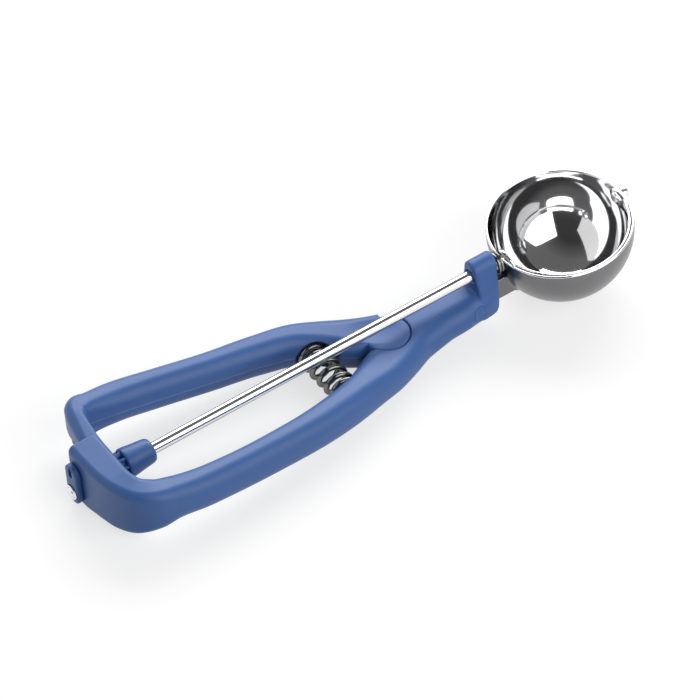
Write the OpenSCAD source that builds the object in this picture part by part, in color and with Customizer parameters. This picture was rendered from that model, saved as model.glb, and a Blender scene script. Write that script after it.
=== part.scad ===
// Lever ice cream scoop: a pressed steel bowl, a half-ring scraper inside it, and a rack and
// pinion that sweeps the scraper through the bowl when the sprung back handle is squeezed.
// Millimetres. Every module is drawn about the drive rod: X runs along the rod to the bowl's
// tip, Z is up through the bowl's mouth and the origin is the bowl's centre. in_rest_pose()
// then lays the scoop on the table, on its bowl and on the foot under the gear housing, with
// the middle of the foot at the origin.

/* [Bowl] */
// Outer radius of the bowl
bowl_r = 27; // [24:0.5:30]
// Thickness of the bowl's steel
bowl_wall = 1; // [0.8:0.1:1.2]
// Height of the rim above the rod's axis
rim_z = 2.2; // [2:0.1:3]

/* [Scraper] */
// Width of the scraper's half ring
blade_w = 6; // [4:0.5:8]
// Thickness of the scraper's steel
blade_t = 0.7; // [0.5:0.1:1]
// Gap between the scraper and the bowl
blade_gap = 0.3; // [0.2:0.05:0.5]
// How far the parked scraper dips below level, in degrees
blade_park = 2.7; // [2:0.1:6]
// Radius of the round ear at each end of the scraper
ear_r = 3.4; // [3.2:0.1:4]

/* [Drive] */
// Diameter of the drive rod
rod_d = 4.4; // [4:0.1:4.6]
// Diameter of the rod's journal in the bowl
journal_d = 3; // [2.6:0.1:3.2]
// Radius at which the rack runs about the lever's hinge
rack_r = 122.5; // [121:0.5:123]
// Gear module
gear_m = 1; // [0.9:0.05:1.05]
// Number of teeth on the pinion
pinion_teeth = 9; // [9:1:9]
// Slack between rack and pinion teeth, along the pitch line
backlash = 0.24; // [0.2:0.02:0.4]

/* [Handles] */
// Distance from the bowl's centre back to the lever's hinge
hinge_x = -76; // [-77:0.5:-75]
// Radius of the lever's hinge knuckle
knuckle_r = 8.5; // [8:0.1:9]
// Top of the knuckle and of the neck beside it
knuckle_top = -6; // [-7:0.1:-5.5]
// Level of the lap between the two halves of the hinge
lap_z = -12.3; // [-13:0.1:-11.5]
// Diameter of the hinge pin
hinge_pin_d = 5; // [4:0.1:5.5]
// Outer diameter of the return spring
spring_d = 11.8; // [11:0.1:12]
// Diameter of the spring's wire
wire_d = 1.7; // [1.4:0.1:1.9]

/* [Hidden] */
$fn = 96;
far = 200;                    // longer than anything that it cuts
run_fit = 0.05;               // radial play of a shaft in its bearing
side_play = 0.3;              // play between faces that pass each other

blue = [0.31, 0.44, 0.68];
steel = [0.78, 0.78, 0.8];
dark_steel = [0.45, 0.45, 0.48];

// Bowl end
bowl_in = bowl_r - bowl_wall;
blade_r = bowl_in - blade_gap;
ear_x = 24.3;                 // inner face of each ear
ear_t = 1;
hub_r = 2.4;
hub_end = -23.6;              // inner face of the rear hub
weld_gap = 0.02;              // so that what is welded to the bowl just doesn't overlap it
bush_end = -29.2;             // back face of the collar behind the bowl
bush_r = 4.25;
tip_bush_r = 2.6;
tip_bush_face = 27.8;
tip_head_r = 2;
tip_x = [23.5, ear_x, 28.1, 29.7];   // ends and shoulders of the tip's pivot
shank_half = 3;
shank_z = [-16, -6.5];
shank_step = -31.3;           // behind it the shank is a lower tang inside the head
tang_top = -9.2;
shank_back = -47;
rivet_x = -41;
rivet_z = -12.3;
rivet_r = 2;
rivet_half = 5.5;
plug_r = 2.9;

// Gear end
rod_r = rod_d / 2;
journal_r = journal_d / 2;
pitch_r = gear_m * pinion_teeth / 2;
pinion_tip = pitch_r + 0.8 * gear_m;
pinion_root = pitch_r - 1.25 * gear_m;
pressure_angle = 25;
tooth_pitch = PI * gear_m;
rack_tip_z = pitch_r - 0.8 * gear_m;
rack_root_z = pitch_r + 1.3 * gear_m;
rack_teeth = [-1:5];
rack_step = tooth_pitch / rack_r * 180 / PI;
rack_in = rack_r - 2.4;
rack_out = rack_r + 1.6;
bar_in = 118.5;               // inner and outer radius of the tail that carries the rack
bar_out = 124.7;
bar_top = 15.7;
channel_z = 2.7;              // floor of the channel that the tail runs in
housing_out = -207.3;         // outer face of the gear housing
pocket_r = pinion_tip + 0.9;
pinion_x = [hinge_x - 124.5, -190.5];
collar_tip = -177;
collar_r = 5.8;
collar_tip_r = 3.9;
cap_face = -209.9;
cap_half = 3.6;
cap_z = [-5.2, 12.9];
cap_slot_z = [7.5, 12];
rod_back = -210.6;
retainer_back = -211.2;
retainer_r = 3;

// How far the scraper turns, and how far the lever turns for that
blade_sweep = 180 - 2 * blade_park;
lever_sweep = blade_sweep * pitch_r / rack_r;

// Hinge
recess_r = knuckle_r + side_play;
plate_r = 10.5;
plate_clear = 11.1;
neck_angle = 72;              // direction of the step between neck and lever, seen from the hinge
crotch_angle = 189;           // where the front handle's arm begins behind the knuckle
plate_z = -18.5;
hinge_gap = 0.2;
pin_top = -7.7;
pin_head_r = 4;
pin_head_z = [-18.2, -16.8];
bead_z = -9.8;

// Spring and its seats
spring_x = -102.2;
spring_z = -9;
seat_front = -13;
seat_back = 11.5;
seat_r = spring_d / 2 + 0.4;
spring_turns = 6;
closed_turns = 0.75;

// The scoop lies on the bowl's underside and on the foot, nose up by this angle.
foot_x = -201;
foot_depth = 7.4;
foot_reach = norm([foot_x, foot_depth]);
rest_pitch = asin(bowl_r / foot_reach) - atan(foot_depth / -foot_x);

// ---------------------------------------------------------------- frames and swept bodies

module in_rest_pose()
  translate([0, 0, bowl_r])
    rotate([0, -rest_pitch, 0])
      children();

module at_origin()
  translate([foot_reach * cos(rest_pitch + atan(foot_depth / -foot_x)), 0, 0])
    in_rest_pose()
      children();

// Turns what stands up along Z so that it lies along X or along Y.
module along_x(x) translate([x, 0, 0]) rotate([90, 0, 90]) children();
module along_y(x, y, z) translate([x, y, z]) rotate([-90, 0, 0]) children();

// A round bar or bore along the rod's axis, from x0 to x1.
module round_x(r, x0, x1) along_x(x0) cylinder(r = r, h = x1 - x0);

// A round bar, bore or taper about the lever's hinge, from z0 to z1.
module hinge_round(r, z0, z1) translate([hinge_x, 0, z0]) cylinder(r = r, h = z1 - z0);

// A wedge of directions about the hinge, from angle a0 to a1, over the heights z0 to z1.
module hinge_sector(r, a0, a1, z0, z1)
  translate([hinge_x, 0, z0])
    rotate([0, 0, a0])
      rotate_extrude(angle = a1 - a0)
        square([r, z1 - z0]);

// One quarter of an ellipse at corner (cx, cz) of a section, starting at angle a.
corner_steps = 5;
function quarter(cx, cz, ry, rz, a) =
  [for (i = [0:corner_steps])
    let (t = a + 90 * i / corner_steps)
    [cx + ry * cos(t), cz + rz * sin(t)]];

// A section with rounded corners across station s. How far it reaches to the right and to the
// left is seen in the direction that the bar runs in.
function section(s, inset) =
  let (
    right = inset - s[2], left = s[3] - inset, bottom = s[4] + inset, top = s[5] - inset,
    ry = max(s[6] - inset, 0.1), rz = max(s[7] - inset, 0.1),
    ly = max(s[8] - inset, 0.1), lz = max(s[9] - inset, 0.1)
  )
  concat(
    quarter(left - ly, top - lz, ly, lz, 0), quarter(right + ry, top - rz, ry, rz, 90),
    quarter(right + ry, bottom + rz, ry, rz, 180), quarter(left - ly, bottom + lz, ly, lz, 270)
  );

// The section's points in space, across the direction that the bar runs in.
function ring(s, heading, inset, ahead) =
  let (c = cos(heading), d = sin(heading))
  [for (p = section(s, inset)) [s[0] + ahead * c - p[0] * d, s[1] + ahead * d + p[0] * c, p[1]]];

function gap(s, i) = norm([s[i + 1][0] - s[i][0], s[i + 1][1] - s[i][1]]);

// Slope of every value at station i, so that the curve runs smoothly through the stations.
function slope(s, i) =
  i == 0 ? (s[1] - s[0]) / gap(s, 0)
  : i == len(s) - 1 ? (s[i] - s[i - 1]) / gap(s, i - 1)
  : let (a = gap(s, i - 1), b = gap(s, i))
    ((s[i] - s[i - 1]) / a * b + (s[i + 1] - s[i]) / b * a) / (a + b);

function between(s, i, t) =
  let (h = gap(s, i))
  (2 * t ^ 3 - 3 * t ^ 2 + 1) * s[i] + (t ^ 3 - 2 * t ^ 2 + t) * h * slope(s, i)
  + (3 * t ^ 2 - 2 * t ^ 3) * s[i + 1] + (t ^ 3 - t ^ 2) * h * slope(s, i + 1);

steps = 3;
function smooth(s) =
  concat([for (i = [0:len(s) - 2], k = [0:steps - 1]) between(s, i, k / steps)], [s[len(s) - 1]]);

function heading(s, i) =
  let (a = s[max(i - 1, 0)], b = s[min(i + 1, len(s) - 1)])
  atan2(b[1] - a[1], b[0] - a[0]);

// The closed skin over rings of equally many points, each square wall split into two triangles.
module skin(rings) {
  n = len(rings[0]);
  last = (len(rings) - 1) * n;
  walls = [for (k = [0:len(rings) - 2], i = [0:n - 1])
    let (a = k * n + i, b = k * n + (i + 1) % n)
    each [[a, b + n, b], [a, a + n, b + n]]];
  ends = [[for (i = [0:n - 1]) i], [for (i = [n - 1:-1:0]) last + i]];
  polyhedron(points = [for (r = rings) each r], faces = concat(walls, ends), convexity = 8);
}

// A bar through the stations, with its end edges bevelled.
bevel = 0.7;
module swept_bar(stations) {
  s = smooth(stations);
  e = len(s) - 1;
  skin(concat(
    [ring(s[0], heading(s, 0), bevel, -bevel)],
    [for (i = [0:e]) ring(s[i], heading(s, i), 0, 0)],
    [ring(s[e], heading(s, e), bevel, bevel)]
  ));
}

// ---------------------------------------------------------------- handle body

// Stations of the front handle from the open end of the housing to the head:
// [x, y, right half, left half, bottom, top, right corners' width and height, left corners' too]
front_stations = [
  [-201, 3.8, 6.3, 5.6, -7.6, 18, 2.4, 2.8, 1.8, 1.8],
  [-201, -4, 6.3, 5.6, -7.6, 18, 2.4, 2.8, 1.8, 1.8],
  [-201, -9, 6.1, 5.5, -6.5, 18, 2.4, 2.8, 1.8, 1.8],
  [-201, -13.5, 5.7, 5.3, -5.7, 18, 2.4, 2.8, 1.6, 1.6],
  [-200.3, -19, 5.3, 5.1, -5.2, 17.9, 2.6, 2.8, 2, 2],
  [-197.2, -25, 5.5, 5, -4, 17.1, 3, 3, 2.8, 2.8],
  [-192.2, -28.3, 5.8, 6, -2.4, 15.9, 3.8, 4.2, 3.8, 4.2],
  [-186, -29.1, 5.9, 6.3, -1.7, 14.4, 4.8, 5.6, 4.8, 5.6],
  [-175, -29.2, 6.2, 6.2, -3.7, 11.7, 5.5, 6.6, 5.5, 6.6],
  [-160, -28.5, 5.9, 5.9, -6.2, 9, 5.4, 6.6, 5.4, 6.6],
  [-140, -26.5, 5.9, 5.9, -9.4, 5.8, 5.4, 6.6, 5.4, 6.6],
  [-120, -23.4, 6.3, 6.3, -12.6, 2.6, 5.6, 6.6, 5.6, 6.6],
  [-105, -19.3, 6.9, 6.5, -15.1, 0.2, 5.8, 6.6, 5.8, 6.6],
  [-95, -15.2, 8, 6.7, -16.4, -1.8, 6, 6.4, 6, 6.4],
  [-86, -11.2, 9.1, 8.4, -17.7, -4.3, 6, 6, 6, 6],
  [-76, -7.2, 8.7, 9.6, -18.6, -5.9, 5.8, 5.4, 5.8, 5.4],
  [-68, -3, 9.4, 13.4, -19.1, -6, 6.2, 5.6, 6.2, 5.6],
  [-61, -1.1, 9.7, 10.4, -19.4, -6.1, 6.6, 6, 6.6, 6],
  [-54, -0.2, 9.4, 8.9, -19.5, -6.3, 6.8, 6.2, 6.8, 6.2],
  [-47, 0, 9.2, 8.6, -19.6, -6.5, 6.8, 6.2, 6.8, 6.2],
  [-41, 0, 8.2, 8.2, -19.6, -6.6, 5.6, 6, 5.6, 6],
  [-35, 0, 7.1, 7.1, -19.6, -6.6, 4, 5, 4, 5],
  [-30.2, 0, 5.8, 5.8, -19.6, -6.6, 3, 4, 3, 4]
];

// Outline of the head from the side: its front leans back and rounds into the underside.
module head_profile() {
  translate([-36.6, -14.4]) circle(r = 5.1);
  polygon([
    [-29.5, far], [-29.5, 6.2], [-31.5, -12.6], [-31.5, -14.4], [-36.6, -14.4], [-36.6, -19.5],
    [-far - 80, -far], [-far - 80, far]
  ]);
}

// Outline of the bearing tower across the rod: an arch that widens down to the neck.
module tower_arch() {
  translate([0, 2.2]) circle(r = 4);
  polygon([
    [-4, 2.2], [-5, -2], [-6, -6.5], [-7.4, -12], [-7.4, -16],
    [7.4, -16], [7.4, -12], [6, -6.5], [5, -2], [4, 2.2]
  ]);
}

// Outline of the tower from above, narrower at the front.
module tower_plan()
  polygon([
    [-39.5, -8.2], [-36, -7.2], [-32, -5.6], [-29.5, -4.2],
    [-29.5, 4.2], [-32, 5.6], [-36, 7.2], [-39.5, 8.2]
  ]);

module tower()
  intersection() {
    along_x(-39.5) linear_extrude(12) tower_arch();
    translate([0, 0, -17]) linear_extrude(25) tower_plan();
  }

// What the lever's rack, teeth and tail need inside the gear housing.
module rack_channel()
  translate([hinge_x, 0, channel_z])
    rotate([0, 0, 174])
      rotate_extrude(angle = 16, $fn = 360)
        translate([bar_in - 0.4, 0])
          square([bar_out - bar_in + 0.8, bar_top + side_play - channel_z]);

// Everything under the level of the foot, so that the foot is cut flat.
module below_foot()
  rotate([0, rest_pitch, 0])
    translate([-far - 60, -far / 2, -bowl_r - far])
      cube([2 * far, far, far]);

module front_handle()
  color(blue)
    difference() {
      union() {
        intersection() {
          swept_bar(front_stations);
          translate([0, far / 2, 0]) rotate([90, 0, 0]) linear_extrude(far) head_profile();
        }
        intersection() {
          tower();
          translate([0, far / 2, 0]) rotate([90, 0, 0]) linear_extrude(far) head_profile();
        }
        hinge_round(plate_r, plate_z, lap_z);
      }
      // hinge: the recess for the knuckle, the room for the lever beside it, and the pin's bore
      hinge_round(recess_r, lap_z, far);
      hinge_sector(40, neck_angle, crotch_angle, lap_z, 40);
      difference() {
        hinge_sector(40, neck_angle, crotch_angle, -40, lap_z + 1);
        hinge_round(plate_r, -60, 60);
      }
      hinge_round(hinge_pin_d / 2, -40, 0);
      hinge_round(pin_head_r + 0.1, -40, pin_head_z[1]);
      // gear housing: rack channel, pinion pocket, rod bore and the flat foot
      rack_channel();
      round_x(pocket_r, pinion_x[0] - 0.5, -180);
      round_x(rod_r + run_fit, -220, -190);
      below_foot();
      // head: rod bore, tang of the shank, rivet and plugs
      round_x(rod_r + run_fit, -60, -20);
      shank_blank();
      along_y(rivet_x, -20, rivet_z) cylinder(r = rivet_r, h = 40);
      for (side = [-1, 1])
        along_y(rivet_x, side * (rivet_half + 5) - 5, rivet_z) cylinder(r = plug_r, h = 10);
      // seat of the return spring
      along_y(spring_x, seat_front, spring_z) cylinder(r = seat_r, h = 20);
    }

module bowl()
  color(steel)
    difference() {
      union() {
        rotate_extrude()
          intersection() {
            difference() {
              circle(r = bowl_r, $fn = 180);
              circle(r = bowl_in, $fn = 180);
            }
            translate([0, -bowl_r - 1]) square([bowl_r + 1, bowl_r + 1]);
          }
        rotate_extrude()
          union() {
            translate([bowl_in, 0]) square([bowl_wall, rim_z - bowl_wall / 2]);
            translate([bowl_in + bowl_wall / 2, rim_z - bowl_wall / 2]) circle(d = bowl_wall, $fn = 32);
          }
      }
      round_x(journal_r + run_fit, -40, 40);
    }

// The room that the bowl takes up, cut out of what is welded to it.
module around_bowl() {
  sphere(r = bowl_r + weld_gap, $fn = 180);
  cylinder(r = bowl_r + weld_gap, h = 10, $fn = 180);
}

module shank_blank() {
  translate([shank_back, -shank_half, shank_z[0]])
    cube([30, 2 * shank_half, tang_top - shank_z[0]]);
  translate([shank_step, -shank_half, shank_z[0]])
    cube([10, 2 * shank_half, shank_z[1] - shank_z[0]]);
}

module bowl_shank()
  color(dark_steel)
    difference() {
      shank_blank();
      around_bowl();
      along_y(rivet_x, -20, rivet_z) cylinder(r = rivet_r, h = 40);
    }

module shank_rivet()
  color(steel)
    along_y(rivet_x, -rivet_half, rivet_z) cylinder(r = rivet_r, h = 2 * rivet_half);

module rivet_plugs()
  color(blue)
    intersection() {
      swept_bar(front_stations);
      for (side = [-1, 1])
        along_y(rivet_x, side * (rivet_half + 5) - 5, rivet_z) cylinder(r = plug_r, h = 10);
    }

// The pin is pressed into the plate from below and turns in the knuckle, where its bead snaps in.
module hinge_pin()
  color(steel) {
    translate([hinge_x, 0, 0])
      rotate_extrude()
        polygon([
          [0, pin_head_z[0]], [pin_head_r - 0.3, pin_head_z[0]], [pin_head_r, pin_head_z[0] + 0.3],
          [pin_head_r, pin_head_z[1]], [hinge_pin_d / 2, pin_head_z[1]], [hinge_pin_d / 2, bead_z - 0.6],
          [hinge_pin_d / 2 + 0.3, bead_z - 0.3], [hinge_pin_d / 2 + 0.3, bead_z + 0.3],
          [hinge_pin_d / 2, bead_z + 0.6], [hinge_pin_d / 2, pin_top - 0.4],
          [hinge_pin_d / 2 - 0.4, pin_top], [0, pin_top]
        ]);
  }

module bowl_bush()
  color(steel)
    difference() {
      round_x(bush_r, bush_end, -20);
      around_bowl();
      translate([-24, -10, -10]) cube(20);
      round_x(journal_r + run_fit, -40, 0);
    }

module tip_bush()
  color(steel)
    difference() {
      round_x(tip_bush_r, 20, tip_bush_face);
      around_bowl();
      round_x(journal_r + run_fit, 0, 40);
      translate([0, -10, -10]) cube(20);
    }

// The cap's section, how thick it is, and its rounded edge: [distance from the housing, inset].
cap_section = [housing_out, 0, cap_half, cap_half, cap_z[0], cap_z[1], 3.4, 3.4, 3.4, 3.4];
cap_depth = housing_out - cap_face;
cap_edge = [
  [0.04, 0], [cap_depth - 0.7, 0], [cap_depth - 0.3, 0.12], [cap_depth - 0.1, 0.3], [cap_depth, 0.6]
];

module rear_bearing_cap()
  color(blue)
    difference() {
      skin([for (e = cap_edge) ring(cap_section, 180, e[1], e[0])]);
      round_x(rod_r + run_fit, -220, -200);
      translate([cap_face - 1, -1, cap_slot_z[0]]) cube([2.2, 2, cap_slot_z[1] - cap_slot_z[0]]);
    }

// ---------------------------------------------------------------- lever body

// Stations of the back handle from the rack's tip to the hinge, as for the front handle
back_stations = [
  [-198.9, -5.2, 4.2, 1.6, 5.8, 15.7, 0.8, 0.8, 1.5, 2.5],
  [-199, 0, 4.4, 1.6, 5.8, 15.7, 0.8, 0.8, 2.2, 3.2],
  [-198.9, 5, 4.6, 1.6, 5.8, 15.7, 0.9, 0.9, 2.2, 3.2],
  [-198.6, 10, 5, 1.7, 5.4, 15.7, 1, 1, 3.2, 3.6],
  [-198, 14.6, 5.1, 1.4, 3.4, 15.7, 1.3, 1.3, 3.6, 3.6],
  [-195.1, 20.5, 4.5, 2.9, 0.4, 15.6, 2, 2, 3.8, 3.8],
  [-193.2, 22.2, 4.6, 4.3, -0.5, 15.4, 2.4, 2.6, 4, 4.2],
  [-191.2, 23.1, 5, 5.2, -1.2, 15.2, 3, 3.2, 4.4, 4.8],
  [-186.4, 23.7, 5.5, 5.3, -2.1, 14.1, 4.3, 5, 5, 6.2],
  [-178, 23.9, 6.1, 6.1, -3.3, 12.1, 5.3, 6.4, 5.3, 6.4],
  [-160, 22.4, 6, 6, -6.2, 9.1, 5.4, 6.6, 5.4, 6.6],
  [-140, 20.3, 5.9, 5.9, -9.4, 5.9, 5.4, 6.6, 5.4, 6.6],
  [-120, 18.8, 6.2, 6.4, -12.6, 2.7, 5.6, 6.6, 5.6, 6.6],
  [-105, 16.2, 6.6, 7.2, -15.1, 0.3, 5.8, 6.6, 5.8, 6.6],
  [-96, 12.4, 7.3, 7.9, -17.2, -1.8, 5.8, 6.4, 5.8, 6.4],
  [-88, 8, 8.2, 9.2, -18.2, -3.9, 5.8, 6, 5.8, 6],
  [-81, 3.8, 8.3, 10.8, -18.4, -5.3, 5.4, 5.6, 5.4, 5.6],
  [-74, 0.6, 8.8, 11.4, -18.9, -6, 5, 5, 5, 5]
];

module rack_tooth() {
  half = tooth_pitch / 4 - backlash / 4;
  spread = tan(pressure_angle);
  root = half + (rack_root_z - pitch_r) * spread;
  tip = half - (pitch_r - rack_tip_z) * spread;
  top = rack_root_z + 1.6;
  rotate([90, 0, -90])
    linear_extrude(rack_out - rack_in)
      polygon([
        [-root, top], [-root, rack_root_z], [-tip, rack_tip_z],
        [tip, rack_tip_z], [root, rack_root_z], [root, top]
      ]);
}

// Where the pinion and its collar come to lie in the lever when it is squeezed home.
module pinion_room()
  translate([hinge_x, 0, 0])
    rotate([0, 0, -lever_sweep])
      translate([-hinge_x, 0, 0]) {
        round_x(collar_r + 0.5, hinge_x - 124.9, collar_tip + 1);
        translate([hinge_x - 124.9, -12, -12])
          cube([24, 12, 12 + pinion_tip + 0.2]);
      }

module back_handle()
  color(blue)
    difference() {
      union() {
        difference() {
          swept_bar(back_stations);
          pinion_room();
          // the hinge's lap: only the knuckle goes on over the plate, and nothing beyond it
          hinge_round(plate_clear, -60, lap_z + hinge_gap);
          difference() {
            hinge_sector(40, crotch_angle - lever_sweep - 1, 360 + neck_angle + 2, -60, 60);
            hinge_round(knuckle_r, -60, 60);
          }
        }
        hinge_round(knuckle_r, lap_z + hinge_gap, knuckle_top - 0.1);
        for (k = rack_teeth)
          translate([hinge_x, 0, 0])
            rotate([0, 0, -k * rack_step])
              translate([-rack_in, 0, 0])
                rack_tooth();
      }
      // shallow dish in the knuckle's top, and the pin's bore with the groove for its bead
      translate([hinge_x, 0, knuckle_top + 40]) sphere(r = 40.5, $fn = 180);
      hinge_round(hinge_pin_d / 2 + run_fit, -30, pin_top + 0.4);
      hinge_round(hinge_pin_d / 2 + 0.4, bead_z - 0.7, bead_z + 0.7);
      // seat of the return spring
      along_y(spring_x, seat_back - 20, spring_z) cylinder(r = seat_r, h = 20);
    }

// ---------------------------------------------------------------- scraper body

module drive_rod()
  color(steel)
    rotate([90, 0, 90])
      rotate_extrude()
        polygon([
          [0, rod_back], [rod_r - 0.3, rod_back], [rod_r, rod_back + 0.3], [rod_r, -29.9],
          [rod_r - 0.3, -29.6], [journal_r, -29.6], [journal_r, hub_end + 0.1],
          [journal_r - 0.4, hub_end + 0.4], [0, hub_end + 0.4]
        ]);

// Half the angle that a pinion tooth takes up at radius r, on an involute flank.
base_r = pitch_r * cos(pressure_angle);
function involute(a) = tan(a) * 180 / PI - a;
function tooth_half(r) =
  90 / pinion_teeth - backlash / 4 / pitch_r * 180 / PI
  + involute(pressure_angle) - involute(acos(min(1, base_r / r)));

module pinion_profile() {
  radii = [pinion_root + 0.1, base_r, pitch_r, (pitch_r + pinion_tip) / 2, pinion_tip];
  circle(r = pinion_root, $fn = 36);
  for (k = [0:pinion_teeth - 1])
    rotate(90 + (k + 0.5) * 360 / pinion_teeth)
      polygon(concat(
        [[0, 0]],
        [for (i = [0:4]) let (a = tooth_half(radii[i])) radii[i] * [cos(a), -sin(a)]],
        [for (i = [4:-1:0]) let (a = tooth_half(radii[i])) radii[i] * [cos(a), sin(a)]]
      ));
}

module pinion_collar()
  color(blue)
    difference() {
      union() {
        along_x(pinion_x[0]) linear_extrude(pinion_x[1] - pinion_x[0]) pinion_profile();
        rotate([90, 0, 90])
          rotate_extrude()
            polygon([
              [0, pinion_x[1] - 0.5], [collar_r - 0.4, pinion_x[1] - 0.5], [collar_r, pinion_x[1]],
              [collar_r, -187.4], [collar_r - 0.3, -186.8], [4.9, collar_tip - 1.6],
              [4.5, collar_tip - 0.5], [collar_tip_r, collar_tip], [0, collar_tip]
            ]);
      }
      round_x(rod_r, -220, -150);
    }

// The blade's half plane is level when the scraper is parked, less the park angle.
module parked() rotate([blade_park, 0, 0]) children();

module scraper_blade()
  color(steel)
    parked()
      difference() {
        union() {
          intersection() {
            difference() {
              sphere(r = blade_r, $fn = 180);
              sphere(r = blade_r - blade_t, $fn = 180);
            }
            translate([-40, -40, -blade_w / 2]) cube([80, 40, blade_w]);
            translate([-ear_x - ear_t, -40, -40]) cube([2 * (ear_x + ear_t), 80, 80]);
          }
          for (x = [-ear_x - ear_t, ear_x]) {
            round_x(ear_r, x, x + ear_t);
            intersection() {
              sphere(r = blade_r, $fn = 180);
              translate([x, -8, -blade_w / 2]) cube([ear_t, 8, blade_w]);
            }
          }
        }
        round_x(journal_r, -40, 40);
      }

module blade_hub()
  color(steel)
    difference() {
      rotate([90, 0, 90])
        rotate_extrude()
          polygon([
            [0, -ear_x], [hub_r, -ear_x], [hub_r, hub_end - 0.3], [hub_r - 0.3, hub_end], [0, hub_end]
          ]);
      round_x(journal_r, -40, 40);
    }

// Stepped pin through the front ear and the bowl's tip, with a flat inner and a domed outer head.
module tip_pivot()
  color(steel)
    rotate([90, 0, 90])
      rotate_extrude() {
        polygon([
          [0, tip_x[0]], [hub_r - 0.6, tip_x[0]], [hub_r - 0.2, tip_x[0] + 0.4], [hub_r - 0.2, tip_x[1]],
          [journal_r, tip_x[1]], [journal_r, tip_x[2]], [tip_head_r, tip_x[2]],
          [tip_head_r, tip_x[3] - 1.2], [tip_head_r - 0.5, tip_x[3] - 0.4], [1, tip_x[3]], [0, tip_x[3]]
        ]);
      }

module rod_retainer()
  color(steel)
    difference() {
      rotate([90, 0, 90])
        rotate_extrude()
          polygon([
            [0, retainer_back], [retainer_r - 0.8, retainer_back], [retainer_r, retainer_back + 0.6],
            [retainer_r, cap_face - side_play], [0, cap_face - side_play]
          ]);
      round_x(rod_r, rod_back, -200);
    }

// ---------------------------------------------------------------- return spring

coil_r = (spring_d - wire_d) / 2;
coil_sides = 8;
coil_steps = 14;
coil_end = seat_front + wire_d / 2 + 0.1;
coil_rise = wire_d + 0.1;
coil_length = seat_back - seat_front - wire_d - 0.2;
coil_pitch = (coil_length - 2 * closed_turns * coil_rise) / (spring_turns - 2 * closed_turns);

// How far along the spring the wire has come after t turns: close wound at both ends.
function coil_y(t) =
  coil_end + coil_rise * (min(t, closed_turns) + max(0, t - spring_turns + closed_turns))
  + coil_pitch * max(0, min(t, spring_turns - closed_turns) - closed_turns);

function coil_ring(t) =
  let (a = 360 * t)
  [for (i = [0:coil_sides - 1])
    let (b = 360 * i / coil_sides, r = coil_r + wire_d / 2 * cos(b))
    [spring_x + r * cos(a), coil_y(t) + wire_d / 2 * sin(b), spring_z + r * sin(a)]];

module return_spring()
  color(dark_steel)
    skin([for (k = [0:spring_turns * coil_steps]) coil_ring(k / coil_steps)]);

at_origin() front_handle();
at_origin() back_handle();
at_origin() bowl();
at_origin() bowl_shank();
at_origin() shank_rivet();
at_origin() rivet_plugs();
at_origin() hinge_pin();
at_origin() bowl_bush();
at_origin() tip_bush();
at_origin() rear_bearing_cap();
at_origin() drive_rod();
at_origin() pinion_collar();
at_origin() scraper_blade();
at_origin() blade_hub();
at_origin() tip_pivot();
at_origin() rod_retainer();
at_origin() return_spring();
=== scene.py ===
import math

import bmesh
import bpy
import numpy as np
from mathutils import Matrix, Vector


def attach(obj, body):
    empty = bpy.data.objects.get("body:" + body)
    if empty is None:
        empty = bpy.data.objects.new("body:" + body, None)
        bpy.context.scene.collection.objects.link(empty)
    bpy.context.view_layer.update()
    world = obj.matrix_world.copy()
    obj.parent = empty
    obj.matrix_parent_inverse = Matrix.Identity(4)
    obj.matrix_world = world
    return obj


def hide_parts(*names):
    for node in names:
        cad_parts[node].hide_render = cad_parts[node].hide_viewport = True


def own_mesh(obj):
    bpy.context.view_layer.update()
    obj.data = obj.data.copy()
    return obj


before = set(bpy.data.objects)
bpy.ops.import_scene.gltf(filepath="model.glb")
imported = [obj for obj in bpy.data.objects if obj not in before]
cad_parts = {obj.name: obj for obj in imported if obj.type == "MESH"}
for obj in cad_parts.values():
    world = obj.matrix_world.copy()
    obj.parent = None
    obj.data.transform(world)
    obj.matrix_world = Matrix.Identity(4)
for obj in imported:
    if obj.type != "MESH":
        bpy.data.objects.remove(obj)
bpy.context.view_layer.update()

# ---------------------------------------------------------------- frames
# Shapes are worked out in millimetres about the drive rod: X along the rod to the bowl's tip,
# Z up through the bowl's mouth, the bowl's centre at the origin. to_row() lays them on the table.
BOWL_R = 27.0
FOOT_X, FOOT_DEPTH = -201.0, 7.4
REACH = math.hypot(FOOT_X, FOOT_DEPTH)
FOOT_ANGLE = math.atan(FOOT_DEPTH / -FOOT_X)
PITCH = math.asin(BOWL_R / REACH) - FOOT_ANGLE
CP, SP = math.cos(PITCH), math.sin(PITCH)
SHIFT = REACH * math.cos(PITCH + FOOT_ANGLE)


def to_row(p):
    """Points about the rod in mm -> points of the row frame in m."""
    p = np.asarray(p, float).reshape(-1, 3)
    x = p[:, 0] * CP - p[:, 2] * SP + SHIFT
    z = p[:, 0] * SP + p[:, 2] * CP + BOWL_R
    return np.stack([x, p[:, 1], z], 1) / 1000.0


def turn_to_row(v):
    """A direction about the rod -> the same direction in the row frame."""
    x, y, z = v
    return Vector((x * CP - z * SP, y, x * SP + z * CP))


# ---------------------------------------------------------------- camera
# Fitted to the photograph. The turn is azimuth, elevation and roll in degrees, the distance
# and the offset of the view's middle from the bowl's centre are in mm.
CAMERA_TURN = (-29.2531, 47.2057, -6.1812)
CAMERA_DISTANCE = 3250.7572
CAMERA_OFFSET = (-75.8472, -44.3556)
FOCAL_PX, FRAME_PX, SENSOR_MM = 9000.0, 700.0, 36.0


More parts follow.
